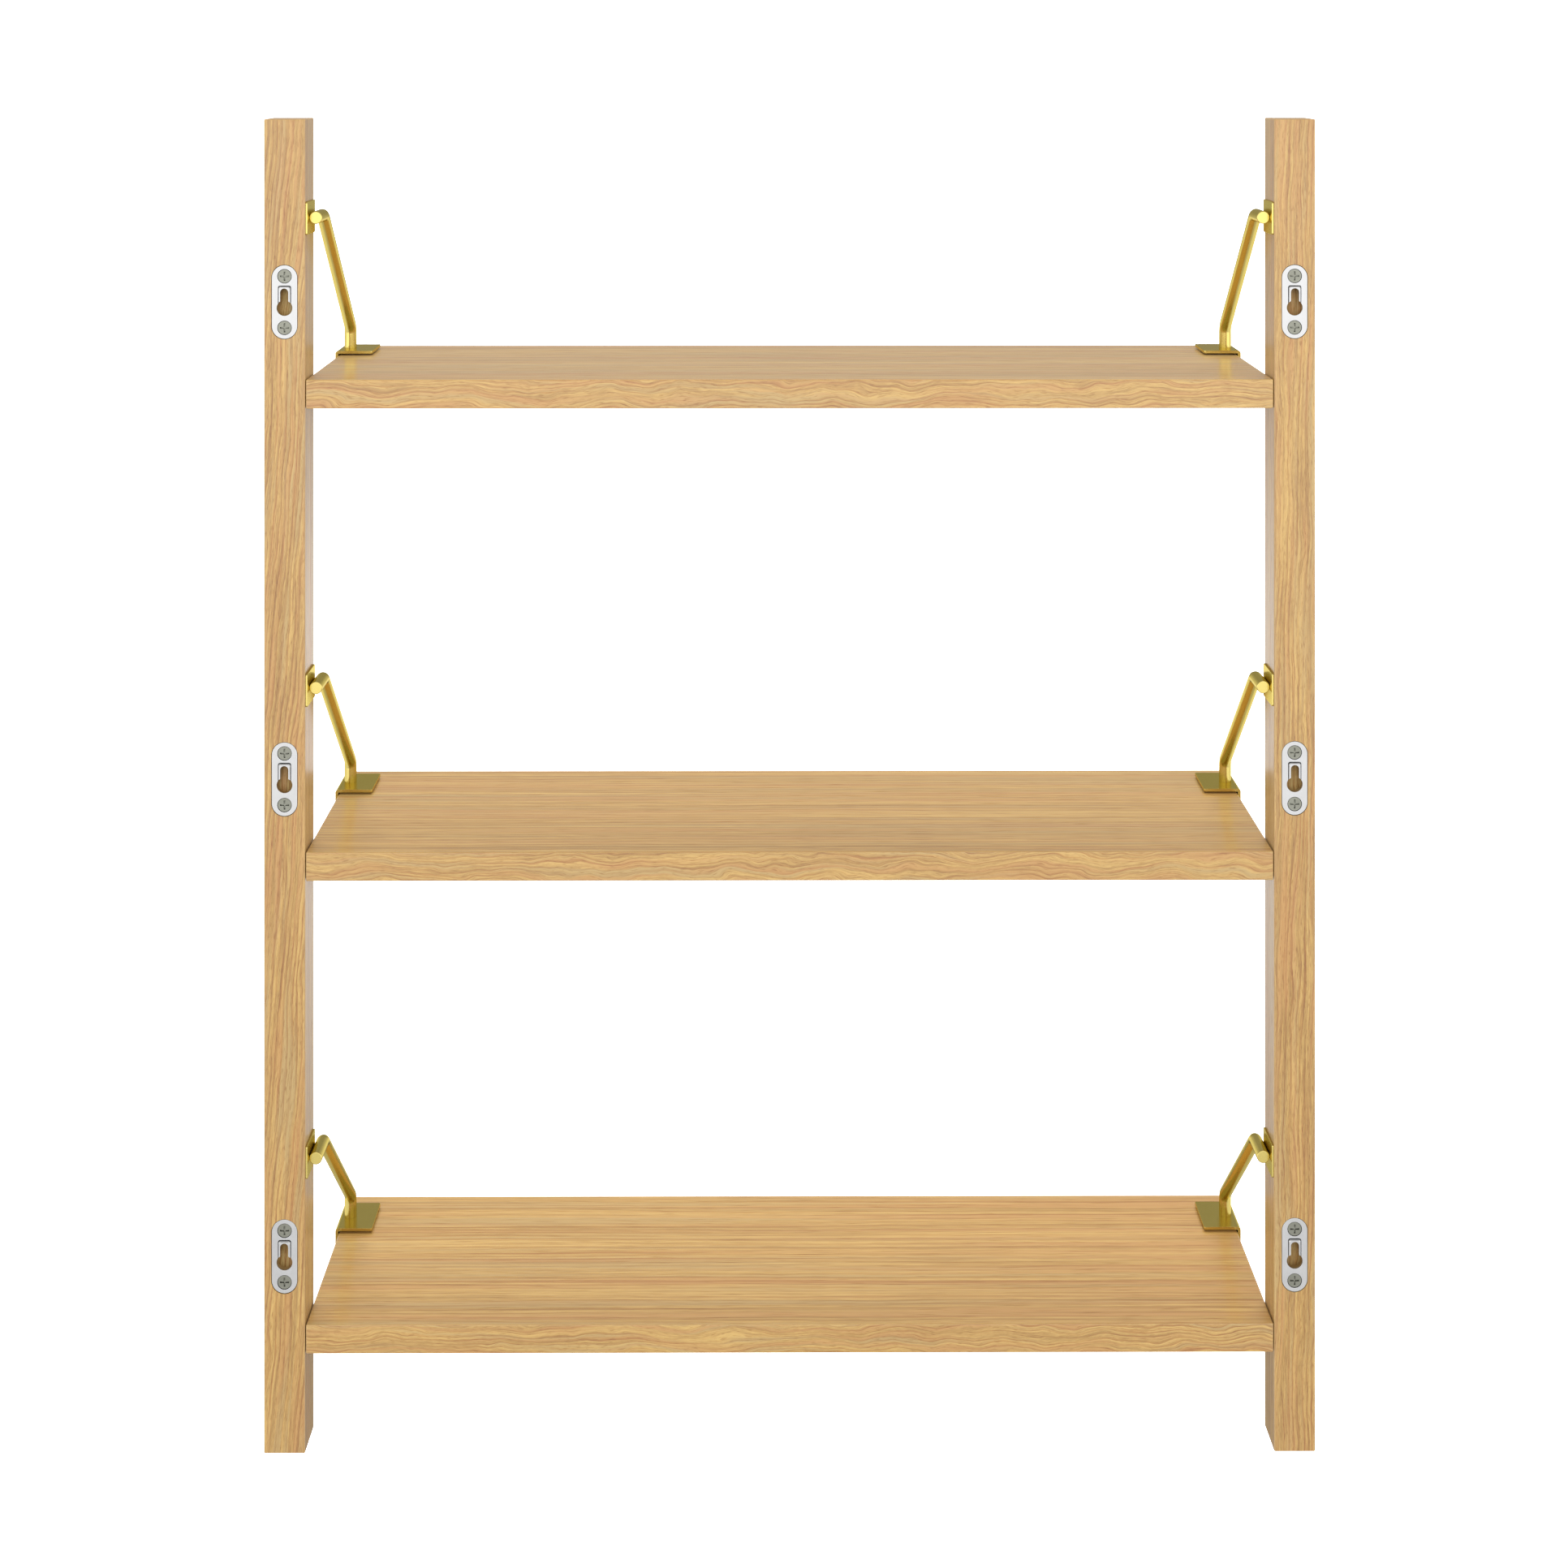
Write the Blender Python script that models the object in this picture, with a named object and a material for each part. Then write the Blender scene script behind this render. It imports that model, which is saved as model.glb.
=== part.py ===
"""Three-tier oak wall shelf with brass brackets and keyhole hangers.

Metres, +Z up. X runs along the shelves, the wall is the plane Y = 0 and the shelves reach out
to -Y. The origin is on the wall plane, midway between the two middle hangers.
"left" is -X and "right" is +X, as seen from the room.
"""

import math

import bmesh
import bpy
from mathutils import Euler, Matrix, Vector

# Clearance between pieces that touch or are welded.
GAP = 0.0003

# Shelf boards
SHELF_LENGTH = 0.600
SHELF_DEPTH = 0.150
SHELF_THICKNESS = 0.018
SHELF_PITCH = 0.2931
MIDDLE_SHELF_TOP = -0.0453
BOARD_CHAMFER = 0.0006

# Uprights
UPRIGHT_WIDTH = 0.0256
UPRIGHT_DEPTH = 0.026
UPRIGHT_BOTTOM = -0.4181
UPRIGHT_TOP = 0.4094
SHELF_END_GAP = 0.0007
UPRIGHT_CHAMFER = 0.0005

# Keyhole hangers, let into the backs of the uprights
HANGER_PITCH = 0.296
HANGER_WIDTH = 0.0158
HANGER_HEIGHT = 0.0457
HANGER_THICKNESS = 0.0015
HANGER_RECESS = 0.0002
HANGER_HOLE_RADIUS = 0.0049
HANGER_HOLE_DROP = 0.0037
HANGER_SLOT_WIDTH = 0.0051
HANGER_SLOT_TOP = 0.0085
RIM_WIDTH = 0.0082
RIM_TOP = 0.0098
RIM_BOTTOM = -0.0012
RIM_RISE = 0.0009
RIM_SLOPE = 0.0005
RIM_CORNER = 0.0010
POCKET_WIDTH = 0.0112
POCKET_TOP = 0.0108
POCKET_DEPTH = 0.0052
HANGER_SCREW_SPACING = 0.032

# Side plates of the brackets
PLATE_THICKNESS = 0.0012
PLATE_BACK = 0.0010
PLATE_DEPTH = 0.0231
PLATE_HEIGHT = 0.0205
PLATE_CENTRE_HEIGHT = 0.0999
PLATE_CORNER = 0.0011
BOSS_RADIUS = 0.0036
BOSS_LENGTH = 0.0080

# Bent bars of the brackets; depths are from the wall plane, heights from the shelf top
ROD_DIAMETER = 0.0080
ROD_BEND_RADIUS = 0.009
ROD_CHAMFER = 0.0003
ROD_START_DEPTH = 0.0064
ROD_STUB_HEIGHT = 0.1000
ROD_UPPER_BEND_DEPTH = 0.0288
ROD_FOOT_DEPTH = 0.1202
ROD_LOWER_BEND_HEIGHT = 0.0168

# Folded clips at the board ends
CLIP_SHEET = 0.0020
CLIP_LIFT = 0.0009
CLIP_REACH = 0.0226
CLIP_START_DEPTH = 0.1043
CLIP_LENGTH = 0.0320
CLIP_FLANGE_DROP = 0.0140
CLIP_FOLD_RADIUS = 0.0021
CLIP_CORNER = 0.0010

# Screws: head radius, shank radius and length, then the recesses in their heads
HANGER_SCREW = (0.0042, 0.00175, 0.016)
SHELF_SCREW = (0.0045, 0.00225, 0.050)
PLATE_SCREW = (0.0040, 0.0020, 0.0240)
CLIP_SCREW = (0.0031, 0.0015, 0.0150)
SCREW_TIP_RADIUS = 0.0005
SCREW_TIP_TAPER = 1.4
HEAD_BAND = 0.0003
CROSS_ARM = 0.0028
CROSS_WIDTH = 0.0007
SMALL_CROSS_ARM = 0.0019
CROSS_DEPTH = 0.0012
SOCKET_RADIUS = 0.0016
SOCKET_DEPTH = 0.0018
SOCKET_SIDES = 6
CLIP_SCREW_DROP = 0.0080

ROUND_SIDES = 12
CORNER_STEPS = 3
END_STEPS = 5
POCKET_STEPS = 3
ENTRY_STEPS = 14
SLOT_STEPS = 6
FOLD_STEPS = 4
BEND_STEPS = 4
SAME_POINT = 0.000001
SMOOTH_ANGLE = math.radians(35)

SIDES = (("left", -1), ("right", 1))
TIERS = (("top", 1), ("middle", 0), ("bottom", -1))
UPRIGHT_INNER = SHELF_LENGTH / 2 + SHELF_END_GAP
UPRIGHT_OUTER = UPRIGHT_INNER + UPRIGHT_WIDTH
UPRIGHT_MIDDLE = (UPRIGHT_INNER + UPRIGHT_OUTER) / 2
PLATE_INNER = UPRIGHT_INNER - GAP - PLATE_THICKNESS
ROD_RADIUS = ROD_DIAMETER / 2
ROD_X = PLATE_INNER - GAP - ROD_RADIUS
CLIP_INNER = SHELF_LENGTH / 2 + SHELF_END_GAP
CLIP_OUTER = CLIP_INNER + CLIP_SHEET
CLIP_TOP = CLIP_LIFT + CLIP_SHEET


# ---------------------------------------------------------------- mesh building


def finish_mesh(name, mesh_builder):
    """The bmesh as a mesh whose faces point out."""
    bmesh.ops.recalc_face_normals(mesh_builder, faces=mesh_builder.faces)
    mesh = bpy.data.meshes.new(name)
    mesh_builder.to_mesh(mesh)
    mesh_builder.free()
    return mesh


def lofted(name, rings):
    """A solid skinned over rings of points, closed by a flat cap at each end."""
    builder = bmesh.new()
    loops = [[builder.verts.new(point) for point in ring] for ring in rings]
    count = len(loops[0])
    for low, high in zip(loops, loops[1:]):
        for i in range(count):
            j = (i + 1) % count
            builder.faces.new((low[i], low[j], high[j], high[i]))
    builder.faces.new(loops[0])
    builder.faces.new(loops[-1])
    return finish_mesh(name, builder)


def extruded(name, outline, axis, low, high):
    """An outline drawn in (X, Z) and run along Y, or drawn in (Y, Z) and run along X."""
    if axis == "Y":
        rings = [[Vector((p, level, q)) for p, q in outline] for level in (low, high)]
    else:
        rings = [[Vector((level, p, q)) for p, q in outline] for level in (low, high)]
    return lofted(name, rings)


def block(name, low, high, chamfer):
    """A rectangular block between two corners with narrow chamfers on its edges."""
    builder = bmesh.new()
    bmesh.ops.create_cube(builder, size=1)
    size = Vector(high) - Vector(low)
    centre = (Vector(high) + Vector(low)) / 2
    for vertex in builder.verts:
        vertex.co = Vector(a * b for a, b in zip(vertex.co, size)) + centre
    bmesh.ops.bevel(builder, geom=builder.edges[:], offset=chamfer, segments=1, affect="EDGES")
    return finish_mesh(name, builder)


def arc(centre, radius, start, end, steps):
    """Points along an arc in the plane of an outline, angles in degrees."""
    angles = [math.radians(start + (end - start) * i / steps) for i in range(steps + 1)]
    return [(centre[0] + radius * math.cos(a), centre[1] + radius * math.sin(a)) for a in angles]


def rounded_rectangle(centre, width, height, radius, steps):
    """Outline of a rectangle with round corners; a radius of half the width gives an obround."""
    right = centre[0] + width / 2 - radius
    left = centre[0] - width / 2 + radius
    top = centre[1] + height / 2 - radius
    bottom = centre[1] - height / 2 + radius
    corners = ((right, top, 0), (left, top, 90), (left, bottom, 180), (right, bottom, 270))
    outline = []
    for x, y, start in corners:
        outline += arc((x, y), radius, start, start + 90, steps)
    return [p for i, p in enumerate(outline) if math.dist(p, outline[i - 1]) > SAME_POINT]


def turned(name, profile, sides=ROUND_SIDES):
    """A solid of revolution about Z from (radius, z) pairs, listed along the axis."""
    rings = []
    for radius, z in profile:
        angles = [2 * math.pi * i / sides for i in range(sides)]
        rings.append([Vector((radius * math.cos(a), radius * math.sin(a), z)) for a in angles])
    return lofted(name, rings)


def swept_bar(name, corners, radius, bend_radius, sides=ROUND_SIDES):
    """A round bar along straight runs in one YZ plane, bent to an arc at each inner corner."""
    path = [(corners[0], (corners[1] - corners[0]).normalized())]
    for before, corner, after in zip(corners, corners[1:], corners[2:]):
        inward = (corner - before).normalized()
        outward = (after - corner).normalized()
        turn = inward.angle(outward)
        setback = bend_radius * math.tan(turn / 2)
        start = corner - inward * setback
        across = (outward - inward * inward.dot(outward)).normalized()
        centre = start + across * bend_radius
        for i in range(BEND_STEPS + 1):
            a = turn * i / BEND_STEPS
            direction = inward * math.cos(a) + across * math.sin(a)
            point = centre - across * bend_radius * math.cos(a) + inward * bend_radius * math.sin(a)
            path.append((point, direction))
    path.append((corners[-1], (corners[-1] - corners[-2]).normalized()))
    first, direction = path[0]
    path.insert(1, (first + direction * ROD_CHAMFER, direction))
    sideways = Vector((1, 0, 0))
    rings = []
    for number, (point, direction) in enumerate(path):
        upward = sideways.cross(direction)
        size = radius - ROD_CHAMFER if number == 0 else radius
        angles = [2 * math.pi * i / sides for i in range(sides)]
        rings.append([point + (sideways * math.cos(a) + upward * math.sin(a)) * size for a in angles])
    return lofted(name, rings)


def joined(name, meshes, matrices):
    """Several separate shapes as one mesh, each set in place by its matrix."""
    builder = bmesh.new()
    for mesh, matrix in zip(meshes, matrices):
        copy = mesh.copy()
        copy.transform(matrix)
        builder.from_mesh(copy)
        bpy.data.meshes.remove(copy)
    return finish_mesh(name, builder)


def boolean(mesh, tools, operation="DIFFERENCE"):
    """The mesh with each tool cut away from it, or added to it."""
    host = bpy.data.objects.new(mesh.name, mesh)
    bpy.context.collection.objects.link(host)
    helpers = []
    for tool in tools:
        helper = bpy.data.objects.new(tool.name, tool)
        helper.hide_render = True
        helper.display_type = "WIRE"
        bpy.context.collection.objects.link(helper)
        helpers.append(helper)
        modifier = host.modifiers.new(tool.name, "BOOLEAN")
        modifier.operation = operation
        modifier.solver = "EXACT"
        modifier.object = helper
    scene_state = bpy.context.evaluated_depsgraph_get()
    result = bpy.data.meshes.new_from_object(host.evaluated_get(scene_state))
    result.name = mesh.name
    for thing in [host, *helpers]:
        bpy.data.objects.remove(thing)
    return result


# ---------------------------------------------------------------- materials and placing


def principled(name, colour, roughness, metallic):
    material = bpy.data.materials.new(name)
    material.use_nodes = True
    shader = material.node_tree.nodes["Principled BSDF"]
    shader.inputs["Base Color"].default_value = (*colour, 1)
    shader.inputs["Roughness"].default_value = roughness
    shader.inputs["Metallic"].default_value = metallic
    return material


def empty_at(name, location):
    empty = bpy.data.objects.new(name, None)
    empty.location = location
    bpy.context.collection.objects.link(empty)
    return empty


def place(name, mesh, material, parent, location=(0, 0, 0), rotation=(0, 0, 0), smooth=True):
    """One sub-part: an object with its mesh, its material and its place under its parent."""
    piece = bpy.data.objects.new(name, mesh)
    if not mesh.materials:
        mesh.materials.append(material)
    if smooth:
        mesh.shade_smooth()
        mesh.set_sharp_from_angle(angle=SMOOTH_ANGLE)
    piece.location = location
    piece.rotation_euler = rotation
    piece.parent = parent
    bpy.context.collection.objects.link(piece)
    return piece


def turn_matrix(location, rotation):
    """The matrix of a piece with this location and rotation."""
    return Matrix.Translation(location) @ Euler(rotation).to_matrix().to_4x4()


# ---------------------------------------------------------------- screws


def screw_profile(screw, clearance=0.0):
    """Countersunk screw with its head at z = 0 and its tip below, or the hole that clears it."""
    head, shank, length = screw
    cone_end = -HEAD_BAND - (head - shank)
    top = clearance + HEAD_BAND if clearance else 0.0
    tip = shank if clearance else SCREW_TIP_RADIUS
    taper = shank if clearance else shank * SCREW_TIP_TAPER
    return [
        (head + clearance, top),
        (head + clearance, -HEAD_BAND),
        (shank + clearance, cone_end),
        (shank + clearance, -length + taper),
        (tip + clearance, -length - clearance),
    ]


def cross_cutter(arm):
    """The cross-shaped recess in a screw head."""
    a = arm
    w = CROSS_WIDTH / 2
    outline = [(a, w), (w, w), (w, a), (-w, a), (-w, w), (-a, w)]
    outline += [(-x, -y) for x, y in outline]
    rings = [[Vector((x, y, z)) for x, y in outline] for z in (-CROSS_DEPTH, HEAD_BAND)]
    return lofted("cross", rings)


def socket_cutter():
    """The hexagonal recess in a screw head."""
    profile = [(SOCKET_RADIUS, -SOCKET_DEPTH), (SOCKET_RADIUS, HEAD_BAND)]
    return turned("socket", profile, SOCKET_SIDES)


def screw_mesh(name, screw, recess):
    return boolean(turned(name, screw_profile(screw)), [recess])


def hole_mesh(screw):
    return turned("hole", screw_profile(screw, GAP))


def hanger_screw_places(x):
    """Where the two screws of a hanger at x sit, from its centre on the wall plane."""
    facing_wall = (-math.pi / 2, 0, 0)
    depth = -HANGER_RECESS - GAP / 2
    half = HANGER_SCREW_SPACING / 2
    return (("upper", (x, depth, half), facing_wall), ("lower", (x, depth, -half), facing_wall))


def side_screw_place(side, x, depth, height):
    """A screw along X whose head faces outwards, from the shelf top on the wall plane."""
    return (side * x, -depth, height), (0, side * math.pi / 2, 0)


def shelf_screw_place(side):
    return side_screw_place(side, UPRIGHT_OUTER - GAP, UPRIGHT_DEPTH / 2, -SHELF_THICKNESS / 2)


def plate_screw_place(side):
    depth = PLATE_BACK + PLATE_DEPTH / 2
    return side_screw_place(side, UPRIGHT_OUTER - GAP, depth, PLATE_CENTRE_HEIGHT)


def clip_screw_place(side):
    depth = CLIP_START_DEPTH + CLIP_LENGTH / 2
    return side_screw_place(side, CLIP_OUTER - GAP / 2, depth, -CLIP_SCREW_DROP)


# ---------------------------------------------------------------- wooden pieces


def shelf_mesh():
    """A board from its top's back edge at the origin, with the pilot holes in its ends."""
    half = SHELF_LENGTH / 2
    board = block("shelf", (-half, -SHELF_DEPTH, -SHELF_THICKNESS), (half, 0, 0), BOARD_CHAMFER)
    shapes = []
    matrices = []
    for _, side in SIDES:
        for screw, where in ((SHELF_SCREW, shelf_screw_place(side)), (CLIP_SCREW, clip_screw_place(side))):
            shapes.append(hole_mesh(screw))
            matrices.append(turn_matrix(*where))
    return boolean(board, [joined("pilot_holes", shapes, matrices)])


def seat_outline():
    """Shallow seat for a hanger plate, with clearance all round it."""
    width = HANGER_WIDTH + 2 * GAP
    return rounded_rectangle((0, 0), width, HANGER_HEIGHT + 2 * GAP, width / 2, END_STEPS)


def pocket_outline():
    """Clearance behind the keyhole for the head of the wall screw."""
    bottom = -HANGER_HOLE_DROP - POCKET_WIDTH / 2
    centre = (0, (POCKET_TOP + bottom) / 2)
    return rounded_rectangle(centre, POCKET_WIDTH, POCKET_TOP - bottom, POCKET_WIDTH / 2, POCKET_STEPS)


def boss_hole_mesh(side):
    """Blind hole in an upright's inner face for the side plate's threaded boss."""
    (_, y, z), rotation = plate_screw_place(side)
    radius = BOSS_RADIUS + GAP
    mesh = turned("boss_hole", [(radius, -GAP), (radius, BOSS_LENGTH + 2 * GAP)])
    mesh.transform(turn_matrix((side * UPRIGHT_INNER, y, z), rotation))
    return mesh


def upright_mesh(side):
    """A post with its hanger seats, screw-head pockets, pilot holes and through holes."""
    xs = sorted((side * UPRIGHT_INNER, side * UPRIGHT_OUTER))
    low = (xs[0], -UPRIGHT_DEPTH, UPRIGHT_BOTTOM)
    high = (xs[1], 0, UPRIGHT_TOP)
    post = block("upright", low, high, UPRIGHT_CHAMFER)
    seat_depth = HANGER_RECESS + HANGER_THICKNESS + GAP
    seat = extruded("seat", seat_outline(), "Y", -seat_depth, GAP)
    pocket = extruded("pocket", pocket_outline(), "Y", -POCKET_DEPTH, GAP)
    rows = [Matrix.Translation((side * UPRIGHT_MIDDLE, 0, level * HANGER_PITCH)) for _, level in TIERS]
    hanger_hole = hole_mesh(HANGER_SCREW)
    pilot_matrices = []
    for _, level in TIERS:
        row = Matrix.Translation((0, 0, level * HANGER_PITCH))
        places = hanger_screw_places(side * UPRIGHT_MIDDLE)
        pilot_matrices += [row @ turn_matrix(at, turn) for _, at, turn in places]
    cross_holes = []
    cross_matrices = []
    for _, level in TIERS:
        tier = Matrix.Translation((0, 0, MIDDLE_SHELF_TOP + level * SHELF_PITCH))
        for screw, where in ((SHELF_SCREW, shelf_screw_place(side)), (PLATE_SCREW, plate_screw_place(side))):
            cross_holes.append(hole_mesh(screw))
            cross_matrices.append(tier @ turn_matrix(*where))
    boss_hole = boss_hole_mesh(side)
    boss_rows = [
        Matrix.Translation((0, 0, MIDDLE_SHELF_TOP + level * SHELF_PITCH)) for _, level in TIERS
    ]
    tools = [
        joined("seats", [seat] * len(rows), rows),
        joined("pockets", [pocket] * len(rows), rows),
        joined("pilot_holes", [hanger_hole] * len(pilot_matrices), pilot_matrices),
        joined("cross_holes", cross_holes, cross_matrices),
        joined("boss_holes", [boss_hole] * len(boss_rows), boss_rows),
    ]
    return boolean(post, tools)


# ---------------------------------------------------------------- metal pieces


def keyhole_outline():
    """Round entry hole with a narrower slot rising from it, as one outline."""
    half = HANGER_SLOT_WIDTH / 2
    meet = math.degrees(math.acos(half / HANGER_HOLE_RADIUS))
    entry = arc((0, -HANGER_HOLE_DROP), HANGER_HOLE_RADIUS, meet, -180 - meet, ENTRY_STEPS)
    slot = arc((0, HANGER_SLOT_TOP - half), half, 180, 0, SLOT_STEPS)
    return entry + slot


def rim_outline(inset):
    """Raised area round the slot; its lower edge lies inside the entry hole."""
    width = RIM_WIDTH - 2 * inset
    top = RIM_TOP - inset
    half = width / 2
    corner = RIM_CORNER
    outline = [(-half, RIM_BOTTOM), (half, RIM_BOTTOM)]
    outline += arc((half - corner, top - corner), corner, 0, 90, CORNER_STEPS)
    outline += arc((corner - half, top - corner), corner, 90, 180, CORNER_STEPS)
    return outline


def hanger_mesh():
    """Keyhole plate, its centre at the origin in X and Z, with its face just below Y = 0."""
    outline = rounded_rectangle((0, 0), HANGER_WIDTH, HANGER_HEIGHT, HANGER_WIDTH / 2, END_STEPS)
    face = -HANGER_RECESS
    back = face - HANGER_THICKNESS
    plate = extruded("hanger", outline, "Y", back, face)
    levels = ((face - HANGER_THICKNESS / 2, 0.0), (face, 0.0), (face + RIM_RISE, RIM_SLOPE))
    rings = [[Vector((x, y, z)) for x, z in rim_outline(inset)] for y, inset in levels]
    raised = boolean(plate, [lofted("rim", rings)], "UNION")
    keyhole = extruded("keyhole", keyhole_outline(), "Y", back - GAP, face + 2 * RIM_RISE)
    matrices = [turn_matrix(at, turn) for _, at, turn in hanger_screw_places(0)]
    holes = joined("screw_holes", [hole_mesh(HANGER_SCREW)] * 2, matrices)
    return boolean(raised, [keyhole, holes])


def side_plate_mesh(side):
    """Brass plate on the upright's inner face, with a threaded boss let into the wood."""
    centre = (-PLATE_BACK - PLATE_DEPTH / 2, PLATE_CENTRE_HEIGHT)
    outline = rounded_rectangle(centre, PLATE_DEPTH, PLATE_HEIGHT, PLATE_CORNER, CORNER_STEPS)
    xs = sorted((side * PLATE_INNER, side * (PLATE_INNER + PLATE_THICKNESS)))
    plate = extruded("side_plate", outline, "X", *xs)
    (_, y, z), rotation = plate_screw_place(side)
    boss = turned("boss", [(BOSS_RADIUS, -PLATE_THICKNESS / 2), (BOSS_RADIUS, BOSS_LENGTH + GAP)])
    boss.transform(turn_matrix((side * (PLATE_INNER + PLATE_THICKNESS), y, z), rotation))
    with_boss = boolean(plate, [boss], "UNION")
    hole = hole_mesh(PLATE_SCREW)
    hole.transform(turn_matrix(*plate_screw_place(side)))
    return boolean(with_boss, [hole])


def rod_mesh(side):
    """Level stub, slanted run and upright foot, bent from one round bar."""
    x = side * ROD_X
    corners = [
        Vector((x, -ROD_START_DEPTH, ROD_STUB_HEIGHT)),
        Vector((x, -ROD_UPPER_BEND_DEPTH, ROD_STUB_HEIGHT)),
        Vector((x, -ROD_FOOT_DEPTH, ROD_LOWER_BEND_HEIGHT)),
        Vector((x, -ROD_FOOT_DEPTH, CLIP_TOP + GAP)),
    ]
    return swept_bar("bracket_rod", corners, ROD_RADIUS, ROD_BEND_RADIUS)


def rounded_tip(mesh, tip, radius):
    """The sheet with the two corners of its tip, the end at this X, rounded."""
    builder = bmesh.new()
    builder.from_mesh(mesh)
    corners = []
    for edge in builder.edges:
        a, b = (vertex.co for vertex in edge.verts)
        at_tip = max(abs(a.x - tip), abs(b.x - tip)) < SAME_POINT
        if at_tip and abs(a.y - b.y) < SAME_POINT:
            corners.append(edge)
    bmesh.ops.bevel(builder, geom=corners, offset=radius, segments=CORNER_STEPS, affect="EDGES")
    bmesh.ops.recalc_face_normals(builder, faces=builder.faces)
    builder.to_mesh(mesh)
    builder.free()
    return mesh


def clip_mesh(side):
    """Sheet folded over the board's end: a plate above the top and a flange down the end."""
    fold_centre = (CLIP_OUTER - CLIP_FOLD_RADIUS, CLIP_TOP - CLIP_FOLD_RADIUS)
    fold = arc(fold_centre, CLIP_FOLD_RADIUS, 90, 0, FOLD_STEPS)
    outline = [(CLIP_INNER - CLIP_REACH, CLIP_LIFT), (CLIP_INNER - CLIP_REACH, CLIP_TOP)]
    outline += fold
    outline += [(CLIP_OUTER, -CLIP_FLANGE_DROP), (CLIP_INNER, -CLIP_FLANGE_DROP), (CLIP_INNER, CLIP_LIFT)]
    outline = [(side * x, z) for x, z in outline]
    sheet = extruded("shelf_clip", outline, "Y", -CLIP_START_DEPTH - CLIP_LENGTH, -CLIP_START_DEPTH)
    sheet = rounded_tip(sheet, side * (CLIP_INNER - CLIP_REACH), CLIP_CORNER)
    hole = hole_mesh(CLIP_SCREW)
    hole.transform(turn_matrix(*clip_screw_place(side)))
    return boolean(sheet, [hole])


# ---------------------------------------------------------------- the assembly


def build():
    oak = principled("oak", (0.58, 0.37, 0.17), 0.45, 0.0)
    brass = principled("brass", (0.55, 0.42, 0.14), 0.32, 1.0)
    steel = principled("hanger_steel", (0.82, 0.82, 0.83), 0.30, 1.0)
    screw_steel = principled("screw_steel", (0.42, 0.42, 0.36), 0.40, 1.0)

    hanger_screw = screw_mesh("hanger_screw", HANGER_SCREW, cross_cutter(CROSS_ARM))
    shelf_screw = screw_mesh("shelf_screw", SHELF_SCREW, socket_cutter())
    plate_screw = screw_mesh("plate_screw", PLATE_SCREW, socket_cutter())
    clip_screw = screw_mesh("clip_screw", CLIP_SCREW, cross_cutter(SMALL_CROSS_ARM))
    hanger = hanger_mesh()
    board = shelf_mesh()

    frame = empty_at("wall_frame", (0, 0, 0))
    tiers = {}
    rows = {}
    for tier, level in TIERS:
        tiers[tier] = empty_at(f"tier_{tier}", (0, 0, MIDDLE_SHELF_TOP + level * SHELF_PITCH))
        rows[tier] = empty_at(f"hanger_row_{tier}", (0, 0, level * HANGER_PITCH))
        tiers[tier].parent = frame
        rows[tier].parent = frame
        place(f"shelf_{tier}", board, oak, tiers[tier], smooth=False)

    for side_name, side in SIDES:
        place(f"upright_{side_name}", upright_mesh(side), oak, frame, smooth=False)
        plate = side_plate_mesh(side)
        rod = rod_mesh(side)
        clip = clip_mesh(side)
        for tier, _ in TIERS:
            which = f"{tier}_{side_name}"
            home = tiers[tier]
            place(f"side_plate_{which}", plate, brass, home)
            place(f"bracket_rod_{which}", rod, brass, home)
            place(f"shelf_clip_{which}", clip, brass, home)
            place(f"shelf_screw_{which}", shelf_screw, screw_steel, home, *shelf_screw_place(side))
            place(f"plate_screw_{which}", plate_screw, brass, home, *plate_screw_place(side))
            place(f"clip_screw_{which}", clip_screw, brass, home, *clip_screw_place(side))
            row = rows[tier]
            place(f"hanger_{which}", hanger, steel, row, (side * UPRIGHT_MIDDLE, 0, 0))
            for end, at, turn in hanger_screw_places(side * UPRIGHT_MIDDLE):
                place(f"hanger_screw_{which}_{end}", hanger_screw, screw_steel, row, at, turn)


for leftover in list(bpy.data.objects):
    bpy.data.objects.remove(leftover)
build()
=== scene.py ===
"""Looks of the three-tier oak wall shelf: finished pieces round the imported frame, stage and camera."""

import math

import bmesh
import bpy
from mathutils import Euler, Matrix, Vector


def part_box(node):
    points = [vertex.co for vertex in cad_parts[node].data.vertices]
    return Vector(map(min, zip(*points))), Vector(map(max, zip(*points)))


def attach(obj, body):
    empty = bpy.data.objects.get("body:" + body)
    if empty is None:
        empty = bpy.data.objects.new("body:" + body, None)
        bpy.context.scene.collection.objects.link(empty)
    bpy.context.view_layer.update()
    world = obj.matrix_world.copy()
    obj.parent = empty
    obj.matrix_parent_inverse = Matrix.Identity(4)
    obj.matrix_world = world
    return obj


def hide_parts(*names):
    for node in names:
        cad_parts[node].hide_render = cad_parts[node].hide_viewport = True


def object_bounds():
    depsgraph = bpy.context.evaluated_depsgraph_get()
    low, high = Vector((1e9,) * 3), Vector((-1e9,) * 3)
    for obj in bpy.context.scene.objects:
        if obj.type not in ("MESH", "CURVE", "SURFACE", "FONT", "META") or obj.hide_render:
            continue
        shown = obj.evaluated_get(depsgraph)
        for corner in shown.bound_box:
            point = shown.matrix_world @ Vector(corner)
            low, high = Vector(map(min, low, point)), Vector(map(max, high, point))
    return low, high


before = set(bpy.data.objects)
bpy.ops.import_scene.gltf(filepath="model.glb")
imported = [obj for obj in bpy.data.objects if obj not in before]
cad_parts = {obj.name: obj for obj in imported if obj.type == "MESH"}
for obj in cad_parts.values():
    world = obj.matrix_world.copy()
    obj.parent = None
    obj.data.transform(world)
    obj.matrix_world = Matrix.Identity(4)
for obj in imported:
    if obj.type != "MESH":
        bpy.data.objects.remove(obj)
cad_low, cad_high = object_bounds()

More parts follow.
